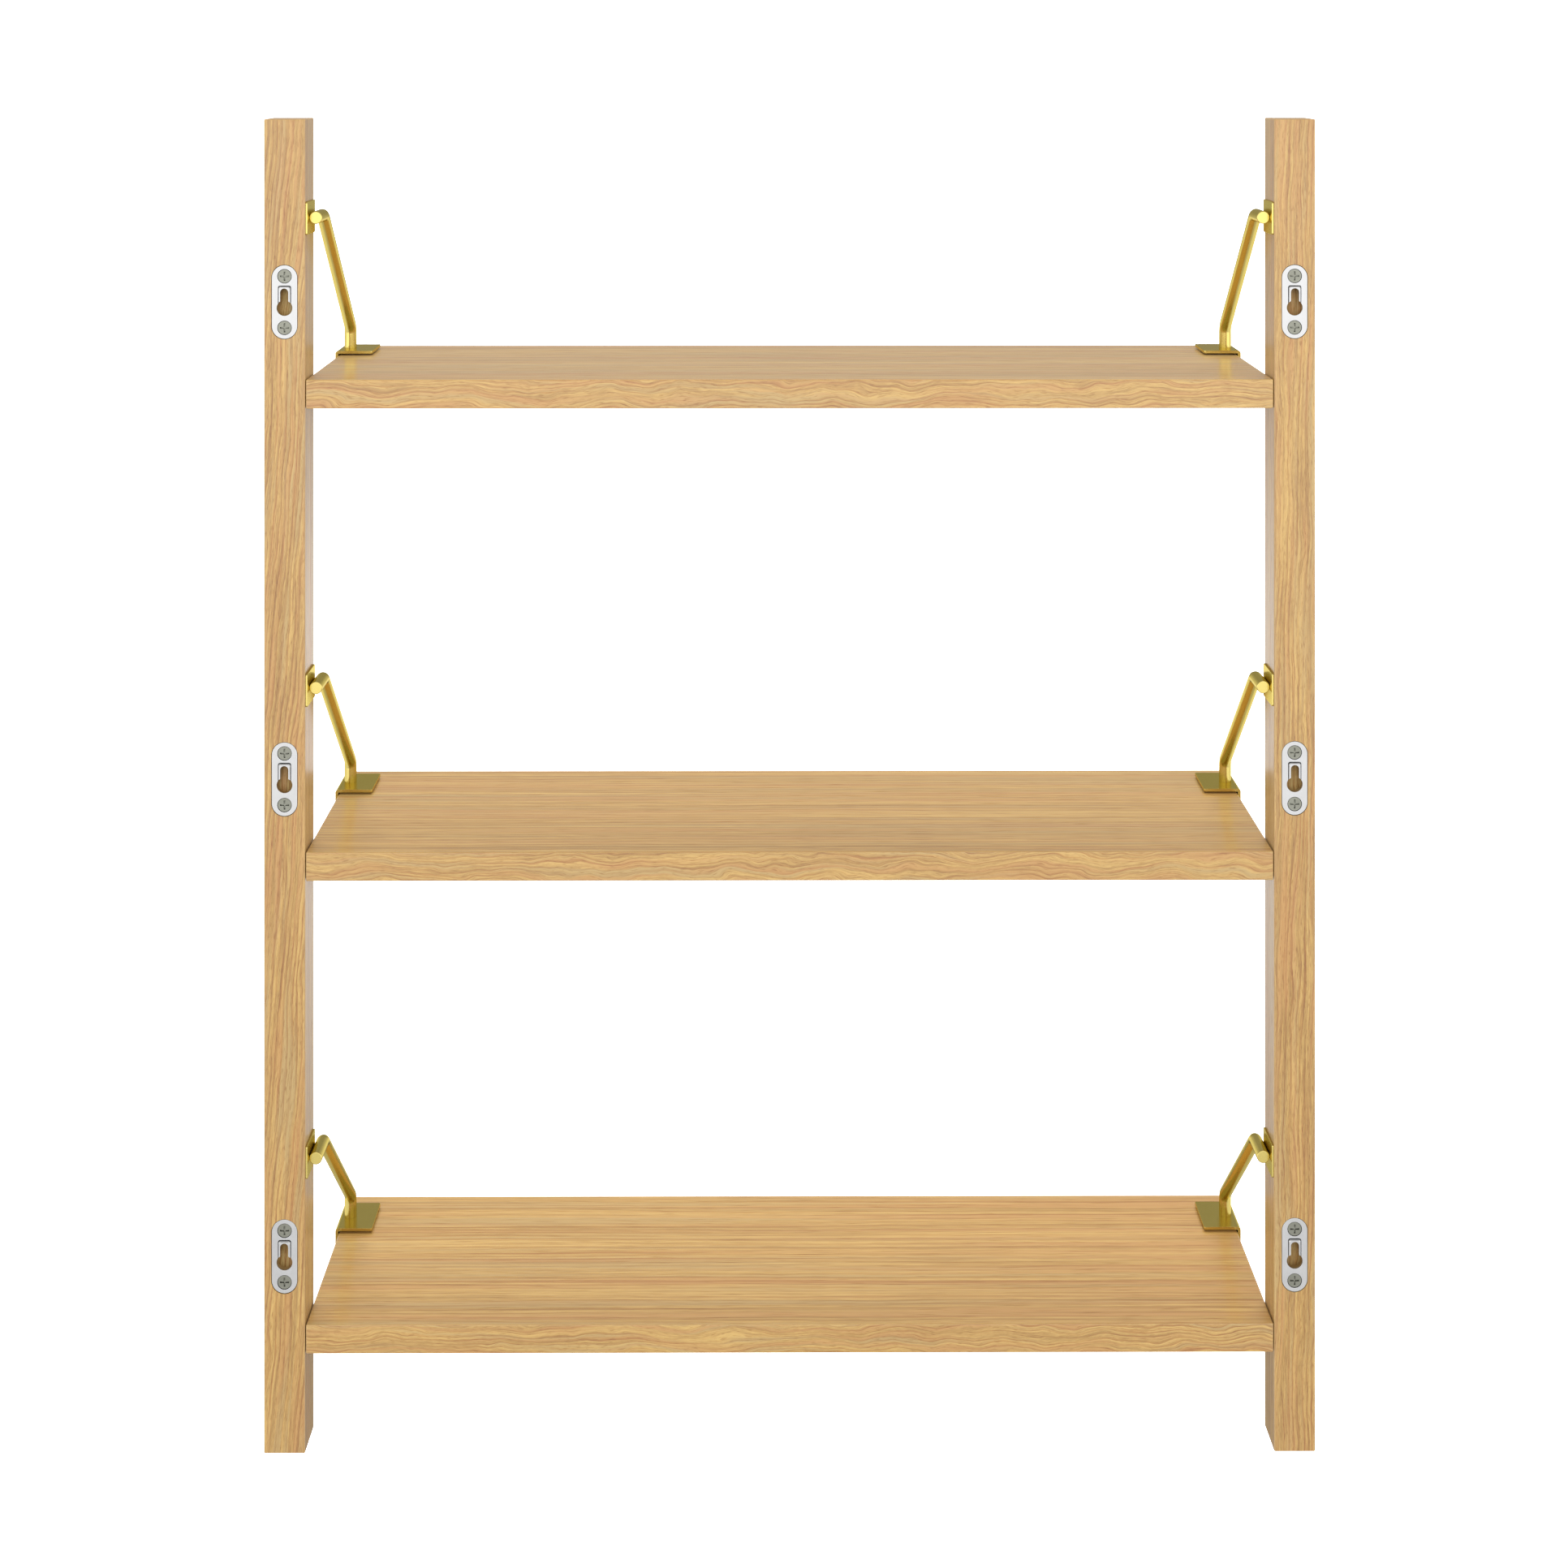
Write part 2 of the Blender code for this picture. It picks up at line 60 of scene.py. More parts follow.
SIDES = (("left", -1), ("right", 1))
TIERS = ("top", "middle", "bottom")
GAP = 0.0003
MILLIMETRE = 0.001
WELD_GAP = 0.00003

# Wooden pieces
BOARD_EDGE = 0.0008
UPRIGHT_EDGE = 0.0007
SEAT_DEPTH = 0.0020
POCKET_WIDTH = 0.0112
POCKET_TOP = 0.0108
POCKET_DEPTH = 0.0052

# Keyhole hangers
HANGER_THICKNESS = 0.0015
HANGER_RECESS = 0.0002
HANGER_HOLE_RADIUS = 0.0049
HANGER_HOLE_DROP = 0.0037
HANGER_SLOT_WIDTH = 0.0051
HANGER_SLOT_TOP = 0.0085
RIM_WIDTH = 0.0076
RIM_TOP = 0.0098
RIM_BOTTOM = -0.0012
RIM_RISE = 0.0009
RIM_CORNER = 0.0014
RIM_CREASE = 0.00032
RIM_CREASE_TOP = 0.00015
RIM_CREASE_DEPTH = 0.0011
SHEET_EDGE = 0.00018

# Rounding of the rim's edge: share of its rise, and how far the outline has moved in there
RIM_ROUNDING = ((0.0, 0.0), (0.3, 0.00006), (0.75, 0.00036), (1.0, 0.00056))

# Brackets
PLATE_THICKNESS = 0.0012
PLATE_CORNER = 0.0011
BOSS_RADIUS = 0.0036
BOSS_LENGTH = 0.0080
ROD_RADIUS = 0.0040
ROD_BEND_RADIUS = 0.009
ROD_END_ROUND = 0.0005
ROD_UPPER_RUN = 0.0224
ROD_LOWER_RISE = 0.0136
CLIP_SHEET = 0.0020
CLIP_FOLD_RADIUS = 0.0021
CLIP_CORNER = 0.0010

# Screws: head radius, shank radius, length
HANGER_SCREW = (0.0042, 0.00175, 0.016)
SHELF_SCREW = (0.0045, 0.00225, 0.050)
PLATE_SCREW = (0.0040, 0.0020, 0.0240)
CLIP_SCREW = (0.0031, 0.0015, 0.0150)
SCREW_TIP_RADIUS = 0.0005
SCREW_TIP_TAPER = 1.4
HEAD_BAND = 0.0003
HEAD_ROUND = 0.00012
ROUND_MIDDLE = 0.3
RING_DEPTH = 0.0010
CROSS_ARM = 0.0028
CROSS_WIDTH = 0.0010
SMALL_CROSS_ARM = 0.0019
CROSS_DEPTH = 0.0007
CROSS_FLOOR = 0.85
SOCKET_RADIUS = 0.0016
SOCKET_DEPTH = 0.0018
SOCKET_SIDES = 6

ROUND_SIDES = 40
SMOOTH_ANGLE = math.radians(40)
EDGE_ANGLE = math.radians(50)
CUT_MARGIN = 0.0008
# Reach of the ambient occlusion that paints shade into the metals' creases
PAINTED_SHADE_REACH = 0.0012
SAME_POINT = 0.000001


# ---------------------------------------------------------------- mesh building


def finish_mesh(name, builder):
    bmesh.ops.recalc_face_normals(builder, faces=builder.faces)
    mesh = bpy.data.meshes.new(name)
    builder.to_mesh(mesh)
    builder.free()
    return mesh


def lofted(name, rings):
    """A solid skinned over rings of points, closed by a flat cap at each end."""
    builder = bmesh.new()
    loops = [[builder.verts.new(point) for point in ring] for ring in rings]
    count = len(loops[0])
    for low, high in zip(loops, loops[1:]):
        for i in range(count):
            j = (i + 1) % count
            builder.faces.new((low[i], low[j], high[j], high[i]))
    builder.faces.new(loops[0])
    builder.faces.new(loops[-1])
    return finish_mesh(name, builder)


def softened(mesh, width, segments=3):
    """The mesh with its sharp outer edges rounded."""
    builder = bmesh.new()
    builder.from_mesh(mesh)
    sharp = [e for e in builder.edges if e.is_manifold and e.calc_face_angle() > EDGE_ANGLE]
    bmesh.ops.bevel(
        builder, geom=sharp, offset=width, segments=segments, profile=0.5, affect="EDGES"
    )
    return finish_mesh(mesh.name, builder)


def extruded(name, outline, axis, low, high):
    """An outline drawn in (X, Z) and run along Y, or drawn in (Y, Z) and run along X."""
    if axis == "Y":
        rings = [[Vector((p, level, q)) for p, q in outline] for level in (low, high)]
    else:
        rings = [[Vector((level, p, q)) for p, q in outline] for level in (low, high)]
    return lofted(name, rings)


def block(name, low, high, edge):
    builder = bmesh.new()
    bmesh.ops.create_cube(builder, size=1)
    size = Vector(high) - Vector(low)
    centre = (Vector(high) + Vector(low)) / 2
    for vertex in builder.verts:
        vertex.co = Vector(a * b for a, b in zip(vertex.co, size)) + centre
    return softened(finish_mesh(name, builder), edge)


def arc(centre, radius, start, end, steps):
    """Points along an arc in the plane of an outline, angles in degrees."""
    angles = [math.radians(start + (end - start) * i / steps) for i in range(steps + 1)]
    return [(centre[0] + radius * math.cos(a), centre[1] + radius * math.sin(a)) for a in angles]


def rounded_rectangle(centre, width, height, radius, steps):
    right = centre[0] + width / 2 - radius
    left = centre[0] - width / 2 + radius
    top = centre[1] + height / 2 - radius
    bottom = centre[1] - height / 2 + radius
    corners = ((right, top, 0), (left, top, 90), (left, bottom, 180), (right, bottom, 270))
    outline = []
    for x, y, start in corners:
        outline += arc((x, y), radius, start, start + 90, steps)
    return [p for i, p in enumerate(outline) if math.dist(p, outline[i - 1]) > SAME_POINT]


def turned(name, profile, sides=ROUND_SIDES):
    """A solid of revolution about Z from (radius, z) pairs, listed along the axis."""
    rings = []
    for radius, z in profile:
        angles = [2 * math.pi * i / sides for i in range(sides)]
        rings.append([Vector((radius * math.cos(a), radius * math.sin(a), z)) for a in angles])
    return lofted(name, rings)


def swept_bar(name, corners, radius, bend_radius, end_round, sides=ROUND_SIDES, steps=14):
    """A round bar along straight runs in one YZ plane, bent to an arc at each inner corner."""
    path = [(corners[0], (corners[1] - corners[0]).normalized())]
    for before, corner, after in zip(corners, corners[1:], corners[2:]):
        inward = (corner - before).normalized()
        outward = (after - corner).normalized()
        turn = inward.angle(outward)
        start = corner - inward * bend_radius * math.tan(turn / 2)
        across = (outward - inward * inward.dot(outward)).normalized()
        for i in range(steps + 1):
            a = turn * i / steps
            direction = inward * math.cos(a) + across * math.sin(a)
            offset = across * (1 - math.cos(a)) + inward * math.sin(a)
            path.append((start + offset * bend_radius, direction))
    path.append((corners[-1], (corners[-1] - corners[-2]).normalized()))
    sections = [(point, direction, radius) for point, direction in path]
    first, direction = path[0]
    sections[0:1] = [
        (
            first + direction * end_round * (1 - math.cos(a)),
            direction,
            radius - end_round * (1 - math.sin(a)),
        )
        for a in (0.0, math.pi / 6, math.pi / 3, math.pi / 2)
    ]
    sideways = Vector((1, 0, 0))
    rings = []
    for point, direction, size in sections:
        upward = sideways.cross(direction)
        angles = [2 * math.pi * i / sides for i in range(sides)]
        rings.append([point + (sideways * math.cos(a) + upward * math.sin(a)) * size for a in angles])
    return lofted(name, rings)


def joined(name, meshes):
    """Several separate shapes as one mesh."""
    builder = bmesh.new()
    for mesh in meshes:
        builder.from_mesh(mesh)
    return finish_mesh(name, builder)


def moved(mesh, matrix):
    copy = mesh.copy()
    copy.transform(matrix)
    return copy


def boolean(mesh, tools, operation="DIFFERENCE"):
    """The mesh with each tool cut away from it, or added to it."""
    host = bpy.data.objects.new(mesh.name, mesh)
    bpy.context.collection.objects.link(host)
    helpers = []
    for tool in tools:
        helper = bpy.data.objects.new(tool.name, tool)
        bpy.context.collection.objects.link(helper)
        helpers.append(helper)
        modifier = host.modifiers.new(tool.name, "BOOLEAN")
        modifier.operation = operation
        modifier.solver = "EXACT"
        modifier.object = helper
    state = bpy.context.evaluated_depsgraph_get()
    result = bpy.data.meshes.new_from_object(host.evaluated_get(state))
    result.name = mesh.name
    for thing in [host, *helpers]:
        bpy.data.objects.remove(thing)
    return result


# ---------------------------------------------------------------- places taken from the frame


def middle(node):
    low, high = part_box(node)
    return (low + high) / 2


def facing_wall(node):
    """Matrix of a screw whose head faces +Y."""
    low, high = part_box(node)
    centre = (low + high) / 2
    turn = Euler((-math.pi / 2, 0, 0)).to_matrix().to_4x4()
    return Matrix.Translation((centre.x, high.y, centre.z)) @ turn


def facing_out(node, side):
    """Matrix of a screw whose head faces away from the shelf along X."""
    low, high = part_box(node)
    centre = (low + high) / 2
    x = high.x if side > 0 else low.x
    turn = Euler((0, side * math.pi / 2, 0)).to_matrix().to_4x4()
    return Matrix.Translation((x, centre.y, centre.z)) @ turn


# ---------------------------------------------------------------- screws


def screw_profile(screw, clearance=0.0, band=HEAD_BAND):
    """Countersunk screw with its head at z = 0 and its tip below, or the hole that clears it."""
    head, shank, length = screw
    cone_end = -band - (head - shank)
    if clearance:
        return [
            (head + clearance, clearance + HEAD_BAND),
            (head + clearance, -band),
            (shank + clearance, cone_end),
            (shank + clearance, -length + shank),
            (shank + clearance, -length - clearance),
        ]
    return [
        (head - HEAD_ROUND, 0.0),
        (head - HEAD_ROUND * ROUND_MIDDLE, -HEAD_ROUND * ROUND_MIDDLE),
        (head, -HEAD_ROUND),
        (head, -HEAD_BAND),
        (shank, cone_end),
        (shank, -length + shank * SCREW_TIP_TAPER),
        (SCREW_TIP_RADIUS, -length),
    ]


def cross_cutter(arm):
    """The cross-shaped recess in a screw head, narrower at its floor."""
    rings = []
    for level, share in ((-CROSS_DEPTH, CROSS_FLOOR), (0.0, 1.0), (HEAD_BAND, 1.0)):
        a = arm * share
        w = CROSS_WIDTH / 2 * share
        outline = [(a, w), (w, w), (w, a), (-w, a), (-w, w), (-a, w)]
        outline += [(-x, -y) for x, y in outline]
        rings.append([Vector((x, y, level)) for x, y in outline])
    return lofted("cross", rings)


def socket_cutter():
    profile = [(SOCKET_RADIUS, -SOCKET_DEPTH), (SOCKET_RADIUS, HEAD_BAND)]
    return turned("socket", profile, SOCKET_SIDES)


def screw_mesh(screw, recess):
    return boolean(turned("screw", screw_profile(screw)), [recess])


def hole_mesh(screw, band=HEAD_BAND):
    return turned("hole", screw_profile(screw, GAP, band))


# ---------------------------------------------------------------- wooden pieces


def shelf_mesh(tier):
    low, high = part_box(f"shelf_{tier}")
    reach = Vector((GAP - WELD_GAP, 0, 0))
    board = block("shelf", low - reach, high + reach, BOARD_EDGE)
    holes = []
    for side_name, side in SIDES:
        which = f"{tier}_{side_name}"
        holes.append(moved(hole_mesh(SHELF_SCREW), facing_out(f"shelf_screw_{which}", side)))
        holes.append(moved(hole_mesh(CLIP_SCREW), facing_out(f"clip_screw_{which}", side)))
    return boolean(board, [joined("pilot_holes", holes)])


def seat_mesh(hanger):
    low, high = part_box(hanger)
    centre = (low + high) / 2
    width = high.x - low.x + 2 * GAP
    height = high.z - low.z + 2 * GAP
    outline = rounded_rectangle((centre.x, centre.z), width, height, width / 2, steps=14)
    return extruded("seat", outline, "Y", -SEAT_DEPTH, GAP)


def pocket_mesh(hanger):
    centre = middle(hanger)
    bottom = -HANGER_HOLE_DROP - POCKET_WIDTH / 2
    at = (centre.x, centre.z + (POCKET_TOP + bottom) / 2)
    height = POCKET_TOP - bottom
    outline = rounded_rectangle(at, POCKET_WIDTH, height, POCKET_WIDTH / 2, steps=10)
    return extruded("pocket", outline, "Y", -POCKET_DEPTH, GAP)


def boss_hole_mesh(which, side, inner):
    centre = middle(f"plate_screw_{which}")
    radius = BOSS_RADIUS + GAP
    hole = turned("boss_hole", [(radius, -GAP), (radius, BOSS_LENGTH + 2 * GAP)])
    turn = Euler((0, side * math.pi / 2, 0)).to_matrix().to_4x4()
    hole.transform(Matrix.Translation((inner, centre.y, centre.z)) @ turn)
    return hole


def upright_mesh(side_name, side):
    low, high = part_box(f"upright_{side_name}")
    post = block("upright", low, high, UPRIGHT_EDGE)
    inner = low.x if side > 0 else high.x
    seats, pockets, pilots, through, bosses = [], [], [], [], []
    for tier in TIERS:
        which = f"{tier}_{side_name}"
        seats.append(seat_mesh(f"hanger_{which}"))
        pockets.append(pocket_mesh(f"hanger_{which}"))
        for end in ("upper", "lower"):
            place = facing_wall(f"hanger_screw_{which}_{end}")
            pilots.append(moved(hole_mesh(HANGER_SCREW), place))
        through.append(moved(hole_mesh(SHELF_SCREW), facing_out(f"shelf_screw_{which}", side)))
        through.append(moved(hole_mesh(PLATE_SCREW), facing_out(f"plate_screw_{which}", side)))
        bosses.append(boss_hole_mesh(which, side, inner))
    cuts = (seats, pockets, pilots, through, bosses)
    return boolean(post, [joined(f"cut_{i}", cut) for i, cut in enumerate(cuts)])


# ---------------------------------------------------------------- metal pieces


def keyhole_outline(centre):
    """Round entry hole with a narrower slot rising from it, as one outline."""
    half = HANGER_SLOT_WIDTH / 2
    meet = math.degrees(math.acos(half / HANGER_HOLE_RADIUS))
    entry = arc((0, -HANGER_HOLE_DROP), HANGER_HOLE_RADIUS, meet, -180 - meet, steps=36)
    slot = arc((0, HANGER_SLOT_TOP - half), half, 180, 0, steps=16)
    return [(centre.x + x, centre.z + z) for x, z in entry + slot]


def rim_outline(centre, inset, lift=0.0):
    """Raised area round the slot; its lower edge lies inside the entry hole."""
    half = RIM_WIDTH / 2 - inset
    top = RIM_TOP - inset + lift
    corner = RIM_CORNER
    outline = [(-half, RIM_BOTTOM), (half, RIM_BOTTOM)]
    outline += arc((half - corner, top - corner), corner, 0, 90, steps=8)
    outline += arc((corner - half, top - corner), corner, 90, 180, steps=8)
    return [(centre.x + x, centre.z + z) for x, z in outline]


def hanger_mesh(which):
    """Keyhole plate with its raised rim, entry hole and slot and two countersunk holes."""
    low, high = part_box(f"hanger_{which}")
    centre = (low + high) / 2
    width = high.x - low.x
    outline = rounded_rectangle((centre.x, centre.z), width, high.z - low.z, width / 2, steps=20)
    face = -HANGER_RECESS
    back = face - HANGER_THICKNESS
    plate = softened(extruded("hanger", outline, "Y", back, face), SHEET_EDGE, segments=2)
    levels = [(back + GAP / 2, 0.0)]
    levels += [(face + RIM_RISE * share, inset) for share, inset in RIM_ROUNDING]
    rings = [[Vector((x, y, z)) for x, z in rim_outline(centre, inset)] for y, inset in levels]
    around = rim_outline(centre, -RIM_CREASE, RIM_CREASE_TOP)
    crease = extruded("crease", around, "Y", face - RIM_CREASE_DEPTH, face + GAP)
    raised = boolean(boolean(plate, [crease]), [lofted("rim", rings)], "UNION")
    keyhole = extruded("keyhole", keyhole_outline(centre), "Y", back - GAP, face + 2 * RIM_RISE)
    holes = [
        moved(hole_mesh(HANGER_SCREW, RING_DEPTH), facing_wall(f"hanger_screw_{which}_{end}"))
        for end in ("upper", "lower")
    ]
    return boolean(raised, [keyhole, joined("screw_holes", holes)])


def side_plate_mesh(which, side):
    """Brass plate on the upright's inner face, with a threaded boss let into the wood."""
    low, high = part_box(f"side_plate_{which}")
    centre = ((low.y + high.y) / 2, (low.z + high.z) / 2)
    size = (high.y - low.y, high.z - low.z)
    outline = rounded_rectangle(centre, *size, PLATE_CORNER, steps=10)
    inner = (low.x if side > 0 else high.x) + side * (GAP - WELD_GAP)
    outer = inner + side * PLATE_THICKNESS
    plate = softened(extruded("side_plate", outline, "X", *sorted((inner, outer))), SHEET_EDGE)
    boss = turned("boss", [(BOSS_RADIUS, -PLATE_THICKNESS / 2), (BOSS_RADIUS, BOSS_LENGTH)])
    turn = Euler((0, side * math.pi / 2, 0)).to_matrix().to_4x4()
    boss.transform(Matrix.Translation((outer, *centre)) @ turn)
    with_boss = boolean(plate, [boss], "UNION")
    hole = moved(hole_mesh(PLATE_SCREW), facing_out(f"plate_screw_{which}", side))
    return boolean(with_boss, [hole])


def rod_mesh(which, side):
    """Level stub, slanted run and upright foot, bent from one round bar welded at both ends."""
    low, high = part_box(f"bracket_rod_{which}")
    x = (low.x + high.x) / 2 + side * 2 * (GAP - WELD_GAP)
    stub_height = high.z - ROD_RADIUS
    foot_depth = low.y + ROD_RADIUS
    corners = [
        Vector((x, high.y, stub_height)),
        Vector((x, high.y - ROD_UPPER_RUN, stub_height)),
        Vector((x, foot_depth, low.z + ROD_LOWER_RISE)),
        Vector((x, foot_depth, low.z - GAP + WELD_GAP)),
    ]
    return swept_bar("bracket_rod", corners, ROD_RADIUS, ROD_BEND_RADIUS, ROD_END_ROUND)


def rounded_tip(mesh, tip, radius):
    """The sheet with the two corners of its tip, the end at this X, rounded."""
    builder = bmesh.new()
    builder.from_mesh(mesh)
    corners = []
    for edge in builder.edges:
        a, b = (vertex.co for vertex in edge.verts)
        if max(abs(a.x - tip), abs(b.x - tip), abs(a.y - b.y)) < SAME_POINT:
            corners.append(edge)
    bmesh.ops.bevel(builder, geom=corners, offset=radius, segments=6, profile=0.5, affect="EDGES")
    return finish_mesh(mesh.name, builder)


def clip_mesh(which, side):
    """Sheet folded over the board's end: a plate above the top and a flange down the end."""
    low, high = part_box(f"shelf_clip_{which}")
    outer = high.x if side > 0 else low.x
    tip = low.x if side > 0 else high.x
    inner = outer - side * CLIP_SHEET
    fold = arc((0, 0), CLIP_FOLD_RADIUS, 90, 0, steps=12)
    fold = [
        (outer - side * (CLIP_FOLD_RADIUS - x), high.z - CLIP_FOLD_RADIUS + z) for x, z in fold
    ]
    under = high.z - CLIP_SHEET
    outline = [(tip, under), (tip, high.z), *fold, (outer, low.z), (inner, low.z), (inner, under)]
    sheet = rounded_tip(extruded("shelf_clip", outline, "Y", low.y, high.y), tip, CLIP_CORNER)
    sheet = softened(sheet, SHEET_EDGE)
    hole = moved(hole_mesh(CLIP_SCREW), facing_out(f"clip_screw_{which}", side))
    return boolean(sheet, [hole])


# ---------------------------------------------------------------- node trees


def feed(tree, socket, value):
    if isinstance(value, bpy.types.NodeSocket):
        tree.links.new(value, socket)
    else:
        socket.default_value = value


def node(tree, kind, settings=None, **sockets):
    made = tree.nodes.new("ShaderNode" + kind)
    for name, value in (settings or {}).items():
        setattr(made, name, value)
    for name, value in sockets.items():
        feed(tree, made.inputs[name.replace("_", " ")], value)
    return made


def calc(tree, operation, a, b=0.0, c=0.0, clamp=False):
    made = tree.nodes.new("ShaderNodeMath")
    made.operation = operation
    made.use_clamp = clamp
    for socket, value in zip(made.inputs, (a, b, c)):
        feed(tree, socket, value)
    return made.outputs[0]


def blended(tree, share, a, b, mode="MIX"):
    made = tree.nodes.new("ShaderNodeMix")
    made.data_type = "RGBA"
    made.blend_type = mode
    for index, value in ((0, share), (6, a), (7, b)):
        feed(tree, made.inputs[index], value)
    return made.outputs[2]


def ramp(tree, value, stops):
    made = tree.nodes.new("ShaderNodeValToRGB")
    elements = made.color_ramp.elements
    while len(elements) < len(stops):
        elements.new(0.5)
    for element, (position, colour) in zip(elements, stops):
        element.position = position
        element.color = (*colour, 1) if isinstance(colour, tuple) else (colour, colour, colour, 1)
    feed(tree, made.inputs[0], value)
    return made.outputs[0]


def limits(tree, value, low, high, to_low=0.0, to_high=1.0):
    made = node(tree, "MapRange", {"interpolation_type": "SMOOTHSTEP"}, Value=value)
    ends = {"From Min": low, "From Max": high, "To Min": to_low, "To Max": to_high}
    for name, number in ends.items():
        made.inputs[name].default_value = number
    return made.outputs[0]


def noise(tree, vector, scale, detail=2.0, roughness=0.5, distortion=0.0):
    made = node(tree, "TexNoise", Vector=vector, Scale=scale, Detail=detail)
    made.inputs["Roughness"].default_value = roughness
    made.inputs["Distortion"].default_value = distortion
    return made.outputs["Fac"]


def stretched(tree, parts, scales, shift=0.0):
    """Coordinates, each scaled, as one vector."""
    made = tree.nodes.new("ShaderNodeCombineXYZ")
    for socket, part, scale in zip(made.inputs, parts, scales):
        feed(tree, socket, calc(tree, "MULTIPLY_ADD", part, scale, shift))
    return made.outputs[0]


def new_material(name):
    material = bpy.data.materials.new(name)
    material.use_nodes = True
    tree = material.node_tree
    return material, tree, tree.nodes["Principled BSDF"]


def own_place(tree, order):
    """Object coordinates in millimetres, in this order of axes."""
    split = node(tree, "SeparateXYZ", Vector=node(tree, "TexCoord").outputs["Object"])
    return [calc(tree, "MULTIPLY", split.outputs[axis], 1 / MILLIMETRE) for axis in order]


# ---------------------------------------------------------------- materials

# Colours of the oak; a tint multiplies the colour under it
OAK_MID = (0.335, 0.187, 0.043)
OAK_LIGHT = (0.538, 0.343, 0.099)
OAK_ORANGE = (0.442, 0.236, 0.069)
OAK_OLIVE = (0.406, 0.272, 0.098)
# Lighter oak laid on sharp edges as a painted highlight
OAK_EDGE_HIGHLIGHT = (0.493, 0.333, 0.159)
LINE_TINT = (0.740, 0.560, 0.360)
RING_TINT = (0.640, 0.450, 0.250)
PORE_TINT = (0.640, 0.500, 0.330)
# Bare cut wood: greyer, and darker as painted shade in the cut hollows
RAW_TINT_AND_PAINTED_SHADE = (0.800, 0.900, 1.300)

# Layers of the grain. Each is a noise with so many cycles per millimetre along the grain and
# across it, read from a place of its own (shift). The layer is at its least (0 if not given)
# where the noise is below start, and at its most (1 if not given) above full.
BANDS = {"along": 0.0045, "across": 0.13, "shift": 3, "detail": 3.0, "start": 0.30, "full": 0.70}
STREAKS = {
    "along": 0.010, "across": 0.50, "shift": 5, "detail": 5.0, "roughness": 0.62,
    "start": 0.28, "full": 0.72,
}
LINES = {"along": 0.014, "across": 1.00, "shift": 13, "detail": 3.0, "start": 0.54, "full": 0.72}
FIBRE = {
    "along": 0.065, "across": 1.35, "shift": 17, "detail": 4.0, "roughness": 0.76,
    "start": 0.27, "full": 0.73,
}
PORES = {"along": 0.16, "across": 2.6, "shift": 19, "detail": 1.5, "start": 0.54, "full": 0.70}
WARM = {
    "along": 0.008, "across": 0.24, "shift": 43, "detail": 4.0,
    "start": 0.46, "full": 0.68, "most": 0.90,
}
GREEN = {
    "along": 0.007, "across": 0.20, "shift": 57, "detail": 3.0,
    "start": 0.48, "full": 0.68, "most": 0.90,
}
RING_STRENGTH = {
    "along": 0.006, "across": 0.16, "shift": 31, "detail": 2.0,
    "start": 0.36, "full": 0.58, "least": 0.2,
}
RING_JITTER = {"along": 0.012, "across": 0.11, "shift": 7, "detail": 3.0}
JITTER_REACH = 2.2
# Darkness across a growth ring, which has one sharp edge and one soft one
RING_SECTION = ((0.0, 0.0), (0.14, 0.80), (0.30, 0.50), (0.60, 0.10), (1.0, 0.0))
WAVE_ACROSS = 0.035
# Part (y) of the normal at which a face counts as one that looks along Y
FACE_START = 0.6
FACE_FULL = 0.8
# Distance in the noise between the grains of the two kinds of faces
FACE_SHIFT = 5.0
SIDE_WIDENING = 0.6
# Shares of the layers in the tone, and what is taken off to centre it
BANDS_SHARE = 0.42
STREAKS_SHARE = 0.75
FIBRE_SHARE = 0.90
TONE_MIDDLE = 0.555
# Strengths of the dark marks, before each kind of face takes its own share of them
LINE_STRENGTH = 0.70
RING_DARKNESS = 0.9
PORE_STRENGTH = 0.70
# Pointiness of an edge, where its painted highlight starts and where it is full
OAK_HIGHLIGHT_START = 0.52
OAK_HIGHLIGHT_FULL = 0.60
OAK_HIGHLIGHT_SHARE = 0.25
OAK_ROUGHNESS = 0.36
FIBRE_ROUGHNESS = 0.14
PORE_ROUGHNESS = 0.18
FIBRE_HEIGHT = 0.4
PORE_DEPTH = 0.7
RING_DEPTH_SHARE = 0.25
OAK_BUMP = 0.00010

# Metals; grain is the rate of the fine brushing along each axis of the piece, and crease the share of
# the colour kept where the painted shade in the creases is darkest
CLOUD_RATE = 0.07
CLOUD_SHARE = 0.7
CLOUD_ROUGHNESS = 0.06
FINE_SHARE = 0.5
DULL_BELOW = 0.35
BRIGHT_ABOVE = 0.85
# Painted highlight on the metals' edges: pointiness where it starts and where it is full, its share, and
# how much lighter it is
EDGE_HIGHLIGHT_START = 0.53
EDGE_HIGHLIGHT_FULL = 0.62
EDGE_HIGHLIGHT_SHARE = 0.5
EDGE_HIGHLIGHT_LIFT = 1.12
# Ambient occlusion values where the painted shade in the metals' creases is darkest and where it is gone
PAINTED_SHADE_DARK = 0.30
PAINTED_SHADE_CLEAR = 0.75
METAL_BUMP = 0.00004
BRASS = {
    "bright": (0.652, 0.526, 0.168), "dull": (0.623, 0.497, 0.151), "rough": 0.24,
    "scratch": 0.03, "grain": (0.9, 0.9, 0.9), "relief": 0.03, "crease": 0.7,
    "rim_tint": (1.0, 0.92, 0.55),
}
HANGER_STEEL = {
    "bright": (0.572, 0.572, 0.572), "dull": (0.522, 0.522, 0.522), "rough": 0.38,
    "scratch": 0.10, "grain": (2.2, 2.2, 0.3), "relief": 0.10, "crease": 0.35,
}
SCREW_STEEL = {
    "bright": (0.293, 0.297, 0.251), "dull": (0.230, 0.230, 0.190), "rough": 0.40,
    "scratch": 0.14, "grain": (1.8, 1.8, 1.8), "relief": 0.12, "crease": 0.35,
}

